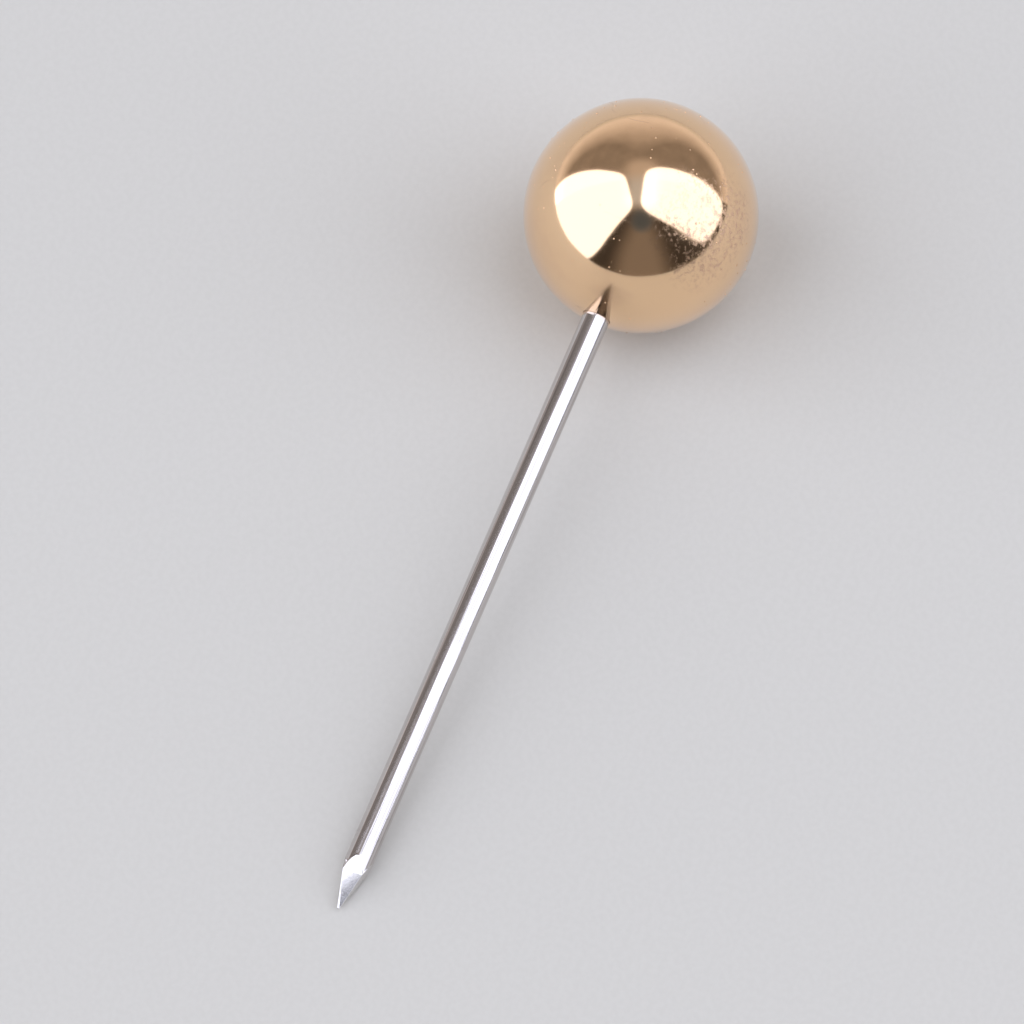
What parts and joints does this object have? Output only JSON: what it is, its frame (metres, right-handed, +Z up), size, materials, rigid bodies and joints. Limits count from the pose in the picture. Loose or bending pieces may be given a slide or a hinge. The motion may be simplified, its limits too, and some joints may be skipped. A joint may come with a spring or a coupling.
{
  "type": "ball-head pin",
  "caption": "Small straight pin lying on its side: a mirror-gold ball head on a round steel wire with a four-sided pinched point.",
  "frame": {"origin": "on the table that the pin lies on, at the middle of its length, under its axis", "axes": "+X runs from the ball to the point, seen from above; +Z is up; the wire slopes down to the point by 8.2 degrees"},
  "size_m": [0.0158, 0.0042, 0.0042],
  "materials": {
    "gold_plate": "polished",
    "bright_wire": "polished"
  },
  "bodies": {
    "root": {"ball_head": "gold_plate", "wire_shank": "bright_wire"}
  },
  "joints": []
}
